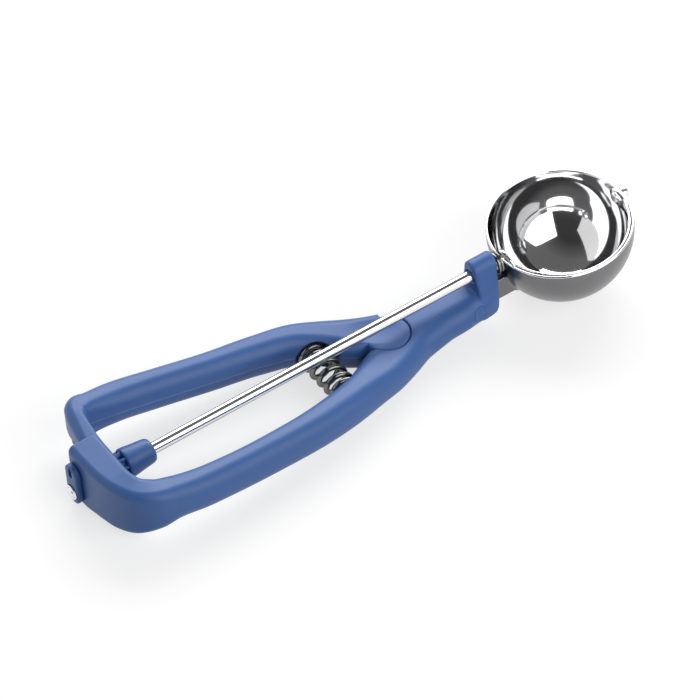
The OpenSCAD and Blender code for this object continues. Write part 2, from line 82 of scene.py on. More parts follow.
def make_camera():
    az, el, roll = (math.radians(a) for a in CAMERA_TURN)
    back = Vector((math.sin(az) * math.cos(el), -math.cos(az) * math.cos(el), math.sin(el)))
    right = Vector((math.cos(az), math.sin(az), 0))
    up = back.cross(right)
    c, s = math.cos(roll), math.sin(roll)
    right, up = c * right + s * up, -s * right + c * up
    place = back * CAMERA_DISTANCE + right * CAMERA_OFFSET[0] + up * CAMERA_OFFSET[1]
    data = bpy.data.cameras.new("camera")
    data.lens = FOCAL_PX * SENSOR_MM / FRAME_PX
    data.sensor_width = SENSOR_MM
    data.clip_start = 0.1
    data.clip_end = 30
    cam = bpy.data.objects.new("camera", data)
    bpy.context.scene.collection.objects.link(cam)
    m = Matrix((turn_to_row(right), turn_to_row(up), turn_to_row(back))).transposed().to_4x4()
    m.translation = Vector(to_row(place)[0])
    cam.matrix_world = m
    bpy.context.scene.camera = cam


make_camera()
bpy.context.scene.view_settings.view_transform = "Standard"


# ---------------------------------------------------------------- materials
def lin(*rgb):
    """sRGB 0..255 -> linear."""
    out = []
    for c in rgb:
        c /= 255.0
        out.append(c / 12.92 if c <= 0.04045 else ((c + 0.055) / 1.055) ** 2.4)
    return (*out, 1.0)


def grey(v):
    return (v, v, v, 1)


class Shader:
    """A small helper to write a node material. Numbers go on sockets, and sockets are linked."""

    def __init__(self, name):
        self.mat = bpy.data.materials.new(name)
        self.mat.use_nodes = True
        self.nodes = self.mat.node_tree.nodes
        self.links = self.mat.node_tree.links
        self.bsdf = self.nodes["Principled BSDF"]
        self.coord = self.nodes.new("ShaderNodeTexCoord").outputs["Object"]

    def feed(self, socket, value):
        if isinstance(value, bpy.types.NodeSocket):
            self.links.new(value, socket)
        else:
            socket.default_value = value

    def add(self, kind, ins, **props):
        n = self.nodes.new(kind)
        for k, v in props.items():
            setattr(n, k, v)
        for k, v in ins.items():
            self.feed(n.inputs[k], v)
        return n

    def scaled(self, *scale):
        return self.add("ShaderNodeMapping", {"Vector": self.coord, "Scale": scale}).outputs[0]

    def noise(self, scale, detail=2.0, rough=0.5, vector=None):
        ins = {"Vector": vector or self.coord, "Scale": scale, "Detail": detail, "Roughness": rough}
        return self.add("ShaderNodeTexNoise", ins).outputs["Fac"]

    def remap(self, value, a, b, c, d):
        ins = {"Value": value, "From Min": a, "From Max": b, "To Min": c, "To Max": d}
        return self.add("ShaderNodeMapRange", ins).outputs[0]

    def calc(self, operation, a, b=0.0, clamp=False):
        return self.add("ShaderNodeMath", {0: a, 1: b}, operation=operation, use_clamp=clamp).outputs[0]

    def mix(self, fac, a, b):
        """Colour a, going over to colour b; the colour sockets of the Mix node have these numbers."""
        return self.add("ShaderNodeMix", {0: fac, 6: a, 7: b}, data_type="RGBA").outputs[2]

    def bump(self, height, strength, distance, normal=None):
        ins = {"Height": height, "Strength": strength, "Distance": distance}
        if normal is not None:
            ins["Normal"] = normal
        return self.add("ShaderNodeBump", ins).outputs[0]

    def set(self, **ins):
        for k, v in ins.items():
            self.feed(self.bsdf.inputs[k.replace("_", " ")], v)


PLASTIC_ROUGH = (0.36, 0.48)
SEAM_HALF, SEAM_EDGE = 0.0001, 0.00028
# the colour of the painted highlight along the parting line
SEAM_HIGHLIGHT_COLOUR = lin(140, 165, 215)


def plastic(name, base, deep, light, seam=None):
    """Moulded plastic. A seam (plane, height) adds the mould's parting line, a fine ridge with a painted
    highlight along it.
    """
    s = Shader(name)
    colour = s.mix(s.remap(s.noise(22.0, 3.0), 0.35, 0.65, 0.0, 0.16), base, deep)
    flow = s.noise(9.0, 4.0, 0.6, s.scaled(1.0, 3.0, 3.0))
    colour = s.mix(s.remap(flow, 0.4, 0.7, 0.0, 0.10), colour, light)
    grain = s.noise(2600.0, 3.0, 0.6)
    waves = s.noise(120.0, 2.0)
    rough = s.remap(grain, 0.3, 0.7, *PLASTIC_ROUGH)
    normal = s.bump(grain, 0.10, 0.00006)
    normal = s.bump(waves, 0.05, 0.0008, normal)
    if seam:
        plane, lift = seam
        dot = s.add("ShaderNodeVectorMath", {0: s.coord, 1: plane}, operation="DOT_PRODUCT")
        gap = s.calc("ABSOLUTE", s.calc("SUBTRACT", dot.outputs["Value"], lift))
        ridge = s.remap(gap, SEAM_HALF, SEAM_EDGE, 1.0, 0.0)
        normal = s.bump(ridge, 0.6, 0.00025, normal)
        # painted highlight: the ridge's colour is lightened, as if light caught the parting line
        colour = s.mix(s.remap(ridge, 0, 1, 0.0, 0.35), colour, SEAM_HIGHLIGHT_COLOUR)
    s.set(Base_Color=colour, Roughness=rough, Normal=normal, IOR=1.5, Specular_IOR_Level=0.42)
    return s.mat


# the painted shade towards a steel's outline: where it begins and where it is full, by how far the surface
# faces away, and its dark colour
OUTLINE_SHADE_FROM, OUTLINE_SHADE_TO = 0.4, 0.8
OUTLINE_SHADE_COLOUR = (0.02, 0.02, 0.025, 1)


def steel(name, base, rough, lines=None, grain=0.02, wave=0.0, edge=0.0):
    """Steel with a fine grain, or drawn lines. Where edge is given, shade is painted towards the outline:
    the colour goes dark and the metal fades there, a painted dark reflection.
    """
    s = Shader(name)
    streak = s.noise(1.0, 3.0, 0.6, s.scaled(*lines)) if lines else s.noise(3200.0, 2.0)
    cloud = s.remap(s.noise(60.0, 4.0, 0.6), 0.35, 0.7, 0.0, 0.25)
    colour = s.mix(cloud, base, tuple(0.86 * c for c in base[:3]) + (1,))
    normal = s.bump(streak, grain, 0.00004)
    if wave:
        normal = s.bump(s.noise(45.0, 1.0), wave, 0.001, normal)
    s.set(Roughness=s.remap(streak, 0.3, 0.7, *rough), Normal=normal, Metallic=1.0)
    # painted shade: towards the outline the colour darkens and the metal fades, a painted dark reflection
    if edge:
        facing = s.add("ShaderNodeLayerWeight", {"Blend": 0.5}).outputs["Facing"]
        colour = s.mix(s.remap(facing, OUTLINE_SHADE_FROM, OUTLINE_SHADE_TO, 0.0, edge), colour, OUTLINE_SHADE_COLOUR)
        s.set(Metallic=s.remap(facing, OUTLINE_SHADE_FROM, OUTLINE_SHADE_TO, 1.0, 1 - edge))
    s.set(Base_Color=colour)
    return s.mat


BLUES = (lin(59, 97, 158), lin(52, 88, 146), lin(66, 104, 168))
PARTING = turn_to_row((0.1615, 0, 1))
PARTING_POINT = Vector(to_row([(-178, 0, 4.4)])[0])
BLUE = plastic("blue_plastic", *BLUES)
LEVER_BLUE = plastic("lever_plastic", *BLUES, seam=(PARTING, PARTING.dot(PARTING_POINT)))
POLISHED = steel("polished_steel", (0.83, 0.83, 0.84, 1), (0.035, 0.08), grain=0.01, wave=0.02)
SATIN = steel("satin_steel", (0.196, 0.196, 0.201, 1), (0.24, 0.36), grain=0.05)
SPRING = steel("spring_steel", grey(0.2), (0.12, 0.2), grain=0.03, edge=0.95)
DARK = steel("dark_steel", grey(0.3), (0.08, 0.14), grain=0.03, edge=0.95)
MIRROR = steel("mirror_steel", (0.79, 0.79, 0.80, 1), (0.05, 0.085), grain=0.004, wave=0.012)
ROD = steel("rod_steel", (0.86, 0.86, 0.87, 1), (0.08, 0.13), lines=(30, 2500, 2500), edge=0.9)


def dress(node, mat):
    """A solid that is shown as it is, in a scene material."""
    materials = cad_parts[node].data.materials
    materials.clear()
    materials.append(mat)


for node in ("blade_hub", "tip_pivot", "tip_bush", "shank_rivet", "hinge_pin"):
    dress(node, POLISHED)
dress("drive_rod", ROD)


# ---------------------------------------------------------------- shapes from distance fields
# The moulded pieces are drawn as signed distances in millimetres, negative inside, so that every
# edge and every inner corner is as soft as on a moulding. A field takes loc, what its bar's
# locate() says about the points or None without a bar, and then x, y, z that broadcast.
# The last number of round_and, round_or and minus is always the radius of the edge or fillet.
TINY = 1e-6


def overlap(first, *others):
    """What lies in all of the shapes, with sharp edges."""
    for other in others:
        first = np.maximum(first, other)
    return first


def between(v, lo, hi):
    """The slab from lo to hi."""
    return np.maximum(lo - v, v - hi)


def round_and(a, b, r):
    """What lies in both a and b, its edge rounded with radius r."""
    return np.minimum(np.maximum(a, b), -r) + np.hypot(np.maximum(a + r, 0), np.maximum(b + r, 0))


def round_or(a, b, r):
    """What lies in a or b, with a fillet of radius r between them."""
    return -round_and(-a, -b, r)


def minus(a, b, r):
    """a with b cut out of it, the edge rounded with radius r."""
    return round_and(a, -b, r)


def smooth_stations(stations, steps):
    """The curve through the stations, with the slope at each weighed by its two gaps."""
    st = np.asarray(stations, float)
    gap = np.hypot(np.diff(st[:, 0]), np.diff(st[:, 1]))[:, None]
    d = np.diff(st, axis=0) / gap
    inner = (d[:-1] * gap[1:] + d[1:] * gap[:-1]) / (gap[:-1] + gap[1:])
    slope = np.vstack([d[:1], inner, d[-1:]])
    t = (np.arange(steps) / steps)[:, None]
    rows = []
    for i in range(len(st) - 1):
        ends = (2 * t**3 - 3 * t**2 + 1) * st[i] + (3 * t**2 - 2 * t**3) * st[i + 1]
        leans = (t**3 - 2 * t**2 + t) * gap[i] * slope[i] + (t**3 - t**2) * gap[i] * slope[i + 1]
        rows.append(ends + leans)
    return np.vstack(rows + [st[-1:]])


class Bar:
    """A bar swept through stations [x, y, right, left, bottom, top, corner sizes right and left]."""

    STEPS = 24
    SEARCH = 6

    def __init__(self, stations):
        self.s = smooth_stations(stations, self.STEPS)
        self.a, self.b = self.s[:-1, :2], self.s[1:, :2]
        self.len = np.hypot(*(self.b - self.a).T)
        self.start = np.concatenate([[0], np.cumsum(self.len)[:-1]])

    def nearest(self, xy):
        """The step of the line whose middle is nearest to each point in plan."""
        mid = (self.a + self.b) / 2
        return np.concatenate([((c[:, None] - mid[None]) ** 2).sum(-1).argmin(1)
                               for c in np.array_split(xy, len(xy) // 8000 + 1)])

    def locate(self, xy, k):
        """For points in plan near steps k: the station's values there, how far left of the line
        each point is, and how far past its ends."""
        last = len(self.a) - 1
        best = np.full(len(xy), np.inf)
        t, j, d = np.zeros(len(xy)), np.zeros(len(xy), int), np.zeros((len(xy), 2))
        for step in range(-self.SEARCH, self.SEARCH + 1):
            j2 = np.clip(k + step, 0, last)
            d2 = (self.b[j2] - self.a[j2]) / self.len[j2][:, None]
            t2 = ((xy - self.a[j2]) * d2).sum(1)
            c = self.a[j2] + np.clip(t2, 0, self.len[j2])[:, None] * d2
            dist = ((xy - c) ** 2).sum(1)
            m = dist < best
            best = np.where(m, dist, best)
            t[m], j[m], d[m] = t2[m], j2[m], d2[m]
        w = np.clip(t / self.len[j], 0, 1)[:, None]
        vals = self.s[j] * (1 - w) + self.s[j + 1] * w
        off = xy - vals[:, :2]
        side = d[:, 0] * off[:, 1] - d[:, 1] * off[:, 0]
        along = self.start[j] + t
        total = self.start[-1] + self.len[-1]
        past = np.maximum(-along, along - total)
        n = np.where(past > 0, side, np.sign(side) * np.sqrt(best))
        return [vals[:, i] for i in range(2, 10)] + [n, past]

    @staticmethod
    def field(loc, z, end, r):
        """The bar's own field: elliptical corners along it, and ends rounded with radius r."""
        right, left, bottom, top, ry, rz, ly, lz, n, past = loc
        m, half = (left - right) / 2, (left + right) / 2
        on_left = n > m
        cy, cz = np.where(on_left, ly, ry), np.where(on_left, lz, rz)
        u, w = np.abs(n - m) - half, between(z, bottom, top)
        a, b = np.maximum(u + cy, TINY), np.maximum(w + cz, TINY)
        q = np.hypot(a / cy, b / cz)
        corner = (q - 1) * q / np.hypot(a / cy**2, b / cz**2)
        d = np.where((u > -cy) & (w > -cz), corner, np.maximum(u, w))
        return round_and(d, past - end, r)


AXES = np.eye(3, dtype=int)
# the value where a bar's field isn't worked out: further beside its line and past its ends
OUTSIDE, BAR_BESIDE, BAR_PAST = 9.0, 20.0, 16.0
# the steps at which a field's slope is taken, the least square of a slope that a move is divided
# by, and the longest move of a point in grid steps
NEWTON_STEP, NORMAL_STEP, LEAST_STEEP, LONGEST_MOVE = 0.02, 0.25, 0.05, 0.6


def sample_field(field, grid, bar):
    """The field at every point of the grid; far from a bar it is just OUTSIDE."""
    cols = np.stack(np.meshgrid(grid[0], grid[1], indexing="ij"), -1).reshape(-1, 2)
    f = np.full((len(cols), len(grid[2])), OUTSIDE)
    loc, near = None, np.ones(len(cols), bool)
    if bar:
        loc = bar.locate(cols, bar.nearest(cols))
        near = (np.abs(loc[-2]) < BAR_BESIDE) & (loc[-1] < BAR_PAST)
        loc = [v[near][:, None] for v in loc]
    f[near] = field(loc, cols[near, :1], cols[near, 1:], grid[2][None])
    return f.reshape([len(g) for g in grid])


def cell_points(f, neg):
    """A point in every cell that the surface passes, in grid steps, and a grid of their numbers."""
    nx, ny, nz = (n - 1 for n in f.shape)
    corners = [(i, j, k) for i in (0, 1) for j in (0, 1) for k in (0, 1)]
    count = sum(neg[i:nx + i, j:ny + j, k:nz + k].astype(np.int8) for i, j, k in corners)
    cell = np.stack(np.nonzero((count > 0) & (count < 8)), 1)
    index = np.full(count.shape, -1)
    index[tuple(cell.T)] = np.arange(len(cell))
    total, hits = np.zeros((len(cell), 3)), np.zeros(len(cell))
    for axis in range(3):
        step, o1, o2 = AXES[axis], AXES[(axis + 1) % 3], AXES[(axis + 2) % 3]
        for corner in (0 * o1, o1, o2, o1 + o2):
            a = cell + corner
            fa, fb = f[tuple(a.T)], f[tuple((a + step).T)]
            m = (fa < 0) != (fb < 0)
            t = fa[m] / (fa[m] - fb[m])
            total[m] += a[m] + t[:, None] * step
            hits[m] += 1
    return total / hits[:, None], index


def cell_quads(neg, index):
    """A quad round every grid edge that goes through the surface."""
    quads = []
    for axis in range(3):
        b, c = (axis + 1) % 3, (axis + 2) % 3
        one = [slice(1, -1)] * 3
        two = [slice(1, -1)] * 3
        one[axis], two[axis] = slice(0, -1), slice(1, None)
        edge = np.stack(np.nonzero(neg[tuple(one)] != neg[tuple(two)]), 1)
        edge[:, [b, c]] += 1
        round_it = (AXES[b] + AXES[c], AXES[c], 0 * AXES[b], AXES[b])
        quad = np.stack([index[tuple((edge - o).T)] for o in round_it], 1)
        flip = ~neg[tuple(edge.T)]
        quad[flip] = quad[flip][:, ::-1]
        quads.append(quad)
    return np.vstack(quads)


def mesh_field(field, lo, hi, h, bar=None):
    """The surface where field is zero, looked for from lo to hi on a grid of h:
    points, unit normals and quads (surface nets, then Newton steps)."""
    grid = [np.arange(a - 1.5 * h, b + 2.5 * h, h) for a, b in zip(lo, hi)]
    f = sample_field(field, grid, bar)
    neg = f < 0
    p, index = cell_points(f, neg)
    p = p * h + [g[0] for g in grid]
    k = bar.nearest(p[:, :2]) if bar else None

    def at(q):
        return field(bar.locate(q[:, :2], k) if bar else None, q[:, 0], q[:, 1], q[:, 2])

    def slope(q, d):
        return np.stack([(at(q + d * e) - at(q - d * e)) / (2 * d) for e in np.eye(3)], 1)

    for _ in range(2):
        g = slope(p, NEWTON_STEP)
        steepness = np.maximum((g**2).sum(1), LEAST_STEEP)
        move = -(at(p) / steepness)[:, None] * g
        size = np.linalg.norm(move, axis=1, keepdims=True)
        p = p + move * np.minimum(1, LONGEST_MOVE * h / np.maximum(size, TINY))
    g = slope(p, NORMAL_STEP)
    g /= np.maximum(np.linalg.norm(g, axis=1, keepdims=True), TINY)
    return p, g, cell_quads(neg, index)


def add_mesh(name, points, faces, mats, body, stands_for=(), normals=None, face_mat=None):
    """A piece in the row frame from points about the rod, in mm."""
    me = bpy.data.meshes.new(name)
    me.from_pydata(to_row(points).tolist(), [], faces if isinstance(faces, list) else faces.tolist())
    for m in mats if isinstance(mats, (list, tuple)) else [mats]:
        me.materials.append(m)
    me.shade_smooth()
    if face_mat is not None:
        me.polygons.foreach_set("material_index", np.asarray(face_mat, np.int32))
    if normals is not None:
        turned = to_row(normals) * 1000 - np.array([SHIFT, 0, BOWL_R])
        me.normals_split_custom_set_from_vertices(turned.tolist())
    me.update()
    o = bpy.data.objects.new(name, me)
    bpy.context.scene.collection.objects.link(o)
    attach(o, body)
    if stands_for:
        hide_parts(*stands_for)
    return o


def lathe(profile, sides=96, closed=False):
    """A body of revolution about the rod: profile is [(radius, place along the rod)], from the
    back end to the front end. An open profile gets a flat face at each end."""
    pr = np.asarray(profile, float)
    a = np.arange(sides) * 2 * np.pi / sides
    ca, sa = np.cos(a)[:, None], np.sin(a)[:, None]
    r, s = pr[None, :, 0], pr[None, :, 1]
    pts = np.stack([np.broadcast_to(s, (sides, len(pr))), r * ca, r * sa], -1).reshape(-1, 3)
    n = len(pr)
    faces = []
    for i in range(sides):
        j = (i + 1) % sides
        for k in range(n if closed else n - 1):
            k2 = (k + 1) % n
            faces.append((i * n + k, j * n + k, j * n + k2, i * n + k2))
    if not closed:
        faces.append(tuple(i * n for i in range(sides))[::-1])
        faces.append(tuple(i * n + n - 1 for i in range(sides)))
    return pts, faces


def soft_edges(o, width, angle=40, segments=2):
    m = o.modifiers.new("soft_edges", "BEVEL")
    m.width = width / 1000
    m.segments = segments
    m.limit_method = "ANGLE"
    m.angle_limit = math.radians(angle)
    m.harden_normals = True


# ---------------------------------------------------------------- handles
# The stations of the two arms: the front one runs from the gear housing to the head, the lever's
# from the rack to the hinge. See Bar for what the ten numbers of a station are.
FRONT = Bar([
    [-201, 3.8, 6.3, 5.6, -7.6, 18, 2.4, 2.8, 1.8, 1.8],
    [-201, -4, 6.3, 5.6, -7.6, 18, 2.4, 2.8, 1.8, 1.8],
    [-201, -9, 6.1, 5.5, -6.5, 18, 2.4, 2.8, 1.8, 1.8],
    [-201, -13.5, 5.7, 5.3, -5.7, 18, 2.4, 2.8, 1.6, 1.6],
    [-200.3, -19, 5.3, 5.1, -5.2, 17.9, 2.6, 2.8, 2, 2],
    [-197.2, -25, 5.5, 5, -4, 17.1, 3, 3, 2.8, 2.8],
    [-192.2, -28.3, 5.8, 6, -2.4, 15.9, 3.8, 4.2, 3.8, 4.2],
    [-186, -29.1, 5.9, 6.3, -1.7, 14.4, 4.8, 5.6, 4.8, 5.6],
    [-175, -29.2, 6.2, 6.2, -3.7, 11.7, 5.5, 6.6, 5.5, 6.6],
    [-160, -28.5, 5.9, 5.9, -6.2, 9, 5.4, 6.6, 5.4, 6.6],
    [-140, -26.5, 5.9, 5.9, -9.4, 5.8, 5.4, 6.6, 5.4, 6.6],
    [-120, -23.4, 6.3, 6.3, -12.6, 2.6, 5.6, 6.6, 5.6, 6.6],
    [-105, -19.3, 6.9, 6.5, -15.1, 0.2, 5.8, 6.6, 5.8, 6.6],
    [-95, -15.2, 8, 6.7, -16.4, -1.8, 6, 6.4, 6, 6.4],
    [-86, -11.2, 9.1, 8.4, -17.7, -4.3, 6, 6, 6, 6],
    [-76, -7.2, 8.7, 9.6, -18.6, -5.9, 5.8, 5.4, 5.8, 5.4],
    [-68, -3, 9.4, 13.4, -19.1, -6, 6.2, 5.6, 6.2, 5.6],
    [-61, -1.1, 9.7, 10.4, -19.4, -6.1, 6.6, 6, 6.6, 6],
    [-54, -0.2, 9.4, 8.9, -19.5, -6.3, 6.8, 6.2, 6.8, 6.2],
    [-47, 0, 9.2, 8.6, -19.6, -6.5, 6.8, 6.2, 6.8, 6.2],
    [-41, 0, 8.2, 8.2, -19.6, -6.6, 5.6, 6, 5.6, 6],
    [-35, 0, 7.1, 7.1, -19.6, -6.6, 4, 5, 4, 5],
    [-30.2, 0, 5.8, 5.8, -19.6, -6.6, 3, 4, 3, 4],
])
BACK = Bar([
    [-198.9, -5.2, 4.2, 1.6, 5.8, 15.7, 0.8, 0.8, 1.5, 2.5],
    [-199, 0, 4.4, 1.6, 5.8, 15.7, 0.8, 0.8, 2.2, 3.2],
    [-198.9, 5, 4.6, 1.6, 5.8, 15.7, 0.9, 0.9, 2.2, 3.2],
    [-198.6, 10, 5, 1.7, 5.4, 15.7, 1, 1, 3.2, 3.6],
    [-198, 14.6, 5.1, 1.4, 3.4, 15.7, 1.3, 1.3, 3.6, 3.6],
    [-195.1, 20.5, 4.5, 2.9, 0.4, 15.6, 2, 2, 3.8, 3.8],
    [-193.2, 22.2, 4.6, 4.3, -0.5, 15.4, 2.4, 2.6, 4, 4.2],
    [-191.2, 23.1, 5, 5.2, -1.2, 15.2, 3, 3.2, 4.4, 4.8],
    [-186.4, 23.7, 5.5, 5.3, -2.1, 14.1, 4.3, 5, 5, 6.2],
    [-178, 23.9, 6.1, 6.1, -3.3, 12.1, 5.3, 6.4, 5.3, 6.4],
    [-160, 22.4, 6, 6, -6.2, 9.1, 5.4, 6.6, 5.4, 6.6],
    [-140, 20.3, 5.9, 5.9, -9.4, 5.9, 5.4, 6.6, 5.4, 6.6],
    [-120, 18.8, 6.2, 6.4, -12.6, 2.7, 5.6, 6.6, 5.6, 6.6],
    [-105, 16.2, 6.6, 7.2, -15.1, 0.3, 5.8, 6.6, 5.8, 6.6],
    [-96, 12.4, 7.3, 7.9, -17.2, -1.8, 5.8, 6.4, 5.8, 6.4],
    [-88, 8, 8.2, 9.2, -18.2, -3.9, 5.8, 6, 5.8, 6],
    [-81, 3.8, 8.3, 10.8, -18.4, -5.3, 5.4, 5.6, 5.4, 5.6],
    [-74, 0.6, 8.8, 11.4, -18.9, -6, 5, 5, 5, 5],
])
# the rod and its play in the head and in the housing, the collar on the rod, and the room that
# the lever's tail leaves for them: round the collar, and a block beside it
ROD_R, HEAD_GAP, HOUSING_GAP = 2.2, 0.15, 0.05
COLLAR_R, COLLAR_GAP, COLLAR_FRONT, HOUSING_BACK = 5.8, 0.5, -176.0, -200.9
BLOCK_FRONT, BLOCK_Y, BLOCK_Z = -176.9, (-12, 0), (-12, 5.5)
# the gear train: the scraper's sweep in degrees gives the lever's
RACK_R, PITCH_R, PRESSURE, TOOTH_SLACK = 122.5, 4.5, math.radians(25), 0.06
PINION_TIP, POCKET_R, PINION_BACK = 5.3, 6.2, -201.0
LEVER_SWEEP = math.radians(174.6 * PITCH_R / RACK_R)
# the lever's hinge: the two halves lap at LAP_Z, and the cuts beside it end HINGE_REACH away
HINGE_X, LAP_Z, LAP_GAP, LAP_OVER, HINGE_REACH = -76.0, -12.3, 0.2, 1, 40
KNUCKLE_R, KNUCKLE_TOP, KNUCKLE_GAP = 8.5, -6.1, 0.3
DISH_R, DISH_DEPTH = 40.5, 0.4
PLATE_R, PLATE_GAP, PLATE_BOTTOM, PLATE_SIDE = 10.5, 0.6, -18.5, -5
PIN_R, PIN_FIT, PIN_TOP, PIN_HEAD_R, PIN_HEAD_Z = 2.5, 0.05, -7.3, 4.1, -16.8
# directions about the hinge: the neck and the crotch between the arms, and where the lever has
# nothing beside its knuckle
NECK_ANGLE, CROTCH_ANGLE, CROTCH_SLACK = math.radians(72), math.radians(189), 0.0175
BARE_FROM, BARE_MIDDLE, BARE_TO = math.radians(300), math.radians(360), math.radians(434)
# the gear housing: the rack's channel, measured about the hinge, and how far forward the channel,
# the pinion's pocket and the rod's bore go
CHANNEL_IN, CHANNEL_OUT, CHANNEL_FLOOR, CHANNEL_TOP, CHANNEL_SIDE = 118.1, 125.1, 2.7, 16.0, -21.2
HOUSING_FRONT, POCKET_FRONT, REAR_BORE_FRONT = -150, -180, -190
# the rack's teeth under the lever's tail
RACK_IN, RACK_OUT, RACK_TIP, RACK_ROOT, RACK_PITCH_Z = 120.1, 124.1, 3.7, 7, 4.5
RACK_MIDDLE, RACK_HALF = 2, 3.5
# the return spring's seats in the two arms
SPRING_X, SPRING_Z, SPRING_SEATS = -102.2, -9.0, (-13.0, 11.5)
SEAT_R, SEAT_SHIFT, FRONT_SEAT_END, BACK_SEAT_DEPTH = 6.3, 1.2, 7, 20
# the head: its leaning front, rounding into an underside that rises towards the neck
HEAD_BOTTOM, HEAD_ROUND, HEAD_LEAN = -19.6, 5.1, (0.9944, -0.1058)
HEAD_FRONT, UNDER_RISE_X, UNDER_RISE = (-29.5, 6.2), -36.6, 0.74
HEAD_BORE, MOUTH_X, MOUTH_DEPTH = (-60, -20), -38.6, 0.9
# the bearing tower on the head: half its width by height, and by place along the rod
TOWER_Z = [-16, -12, -9, -6.5, -4, -2, 0, 1.2, 2.2]
TOWER_HALF = [7.4, 7.3, 6.65, 6.0, 5.45, 4.95, 4.4, 4.15, 4.0]
TOWER_X, TOWER_PLAN = [-39.5, -36, -32, -29.5], [8.2, 7.3, 6.0, 5.0]
ARCH_Z, ARCH_R, TOWER_BOTTOM = 2.2, 4.0, -17
# the bowl's shank in its slot; it is lower inside the head
SHANK_HALF, SHANK_BOTTOM, SHANK_BACK, SHANK_FRONT, SHANK_STEP = 3.0, -16, -47, -12, -31.3
SHANK_TOPS = (-9.2, -6.5)
# the grid on which the handles' surfaces are found
GRID, QUICK_GRID = 0.5, 0.55


def wedge(x, y, a0, a1):
    """The directions from a0 to a1 about the hinge, less than half a turn."""
    dx, dy = x - HINGE_X, y
    return np.maximum(math.sin(a0) * dx - math.cos(a0) * dy, -math.sin(a1) * dx + math.cos(a1) * dy)


def head_front(x, z):
    """Behind the head's leaning front and above its underside."""
    lean = (x - HEAD_FRONT[0]) * HEAD_LEAN[0] + (z - HEAD_FRONT[1]) * HEAD_LEAN[1]
    under = HEAD_BOTTOM - z - UNDER_RISE * np.maximum(0, UNDER_RISE_X - x)
    return round_and(lean, under, HEAD_ROUND)


def tower(x, y, z):
    """The bearing tower: sides that draw in upwards and forwards, under a round arch."""
    side = np.abs(y) - np.interp(z, TOWER_Z, TOWER_HALF)
    arch = np.where(z > ARCH_Z, np.hypot(y, z - ARCH_Z) - ARCH_R, side * 0.97)
    plan = np.abs(y) - np.interp(x, TOWER_X, TOWER_PLAN)
    body = round_and(arch, plan * 0.95, 0.6)
    body = round_and(body, TOWER_X[0] - x, 1.1)
    return np.maximum(body, TOWER_BOTTOM - z)


def shank_top(x):
    return np.where(x < SHANK_STEP, *SHANK_TOPS)


def spring_seat(x, y, z, start, end, shift=0.0):
    """A round seat for the spring's end, which may shift along it."""
    middle = np.clip(x, SPRING_X, SPRING_X + shift)
    return np.maximum(np.hypot(x - middle, z - SPRING_Z) - SEAT_R, between(y, start, end))


def front_hinge(d, x, y, z):
    """The front handle's half of the hinge: a plate below the lever's knuckle, and the room for it."""
    hinge = np.hypot(x - HINGE_X, y)
    crotch = wedge(x, y, NECK_ANGLE, CROTCH_ANGLE)
    plate = round_and(hinge - PLATE_R, between(z, PLATE_BOTTOM, LAP_Z), 0.6)
    d = round_or(d, np.maximum(plate, PLATE_SIDE - y), 0.8)
    d = minus(d, np.maximum(hinge - KNUCKLE_R - KNUCKLE_GAP, LAP_Z - z), 0.45)
    d = minus(d, overlap(crotch, LAP_Z - z, hinge - HINGE_REACH), 0.5)
    d = minus(d, overlap(crotch, z - LAP_Z - LAP_OVER, between(hinge, PLATE_R, HINGE_REACH)), 0.4)
    d = minus(d, np.maximum(hinge - PIN_R, z), 0.3)
    return minus(d, np.maximum(hinge - PIN_HEAD_R, z - PIN_HEAD_Z), 0.3)


def gear_housing(d, x, y, z):
    """The channel for the rack, the pinion's pocket, the rod's bore and the flat foot."""
    ring = between(np.hypot(x - HINGE_X, y), CHANNEL_IN, CHANNEL_OUT)
    channel = overlap(ring, between(z, CHANNEL_FLOOR, CHANNEL_TOP), x - HOUSING_FRONT, CHANNEL_SIDE - y)
    d = minus(d, channel, 0.45)
    rod = np.hypot(y, z)
    d = minus(d, np.maximum(rod - POCKET_R, between(x, PINION_BACK, POCKET_FRONT)), 0.45)
    d = minus(d, np.maximum(rod - ROD_R - HOUSING_GAP, x - REAR_BORE_FRONT), 0.3)
    return round_and(d, -(x * SP + z * CP + BOWL_R), 0.5)


def front_field(loc, x, y, z):
    """The front handle: gear housing, arm, its half of the hinge, neck, and head with its tower."""
    d = Bar.field(loc, z, end=0.7, r=0.8)
    d = round_or(d, tower(x, y, z), 1.0)
    d = round_and(d, head_front(x, z), 1.0)
    d = front_hinge(d, x, y, z)
    d = gear_housing(d, x, y, z)
    # the rod's bore through the head with its mouth opened a little, and the slot for the shank
    mouth = 0.5 * np.clip(MOUTH_X - x, 0, MOUTH_DEPTH)
    d = minus(d, np.maximum(np.hypot(y, z) - ROD_R - HEAD_GAP - mouth, between(x, *HEAD_BORE)), 0.4)
    slot = np.maximum(np.abs(y) - SHANK_HALF, between(z, SHANK_BOTTOM, shank_top(x)))
    d = minus(d, np.maximum(slot, SHANK_BACK - x), 0.25)
    return minus(d, spring_seat(x, y, z, SPRING_SEATS[0], FRONT_SEAT_END), 0.5)


def rack_teeth(x, y, z):
    """The rack: straight-sided teeth under the tail, in a ring about the hinge."""
    hinge = np.hypot(x - HINGE_X, y)
    turn = np.arctan2(y, HINGE_X - x) / (math.pi / RACK_R)
    phase = np.abs((turn + 0.5) % 1.0 - 0.5) * math.pi
    flank = phase - ((math.pi / 4 - TOOTH_SLACK) + (z - RACK_PITCH_Z) * math.tan(PRESSURE))
    teeth = overlap(flank * 0.9, between(z, RACK_TIP, RACK_ROOT), between(hinge, RACK_IN, RACK_OUT))
    return np.maximum(teeth, np.abs(turn - RACK_MIDDLE) - RACK_HALF)


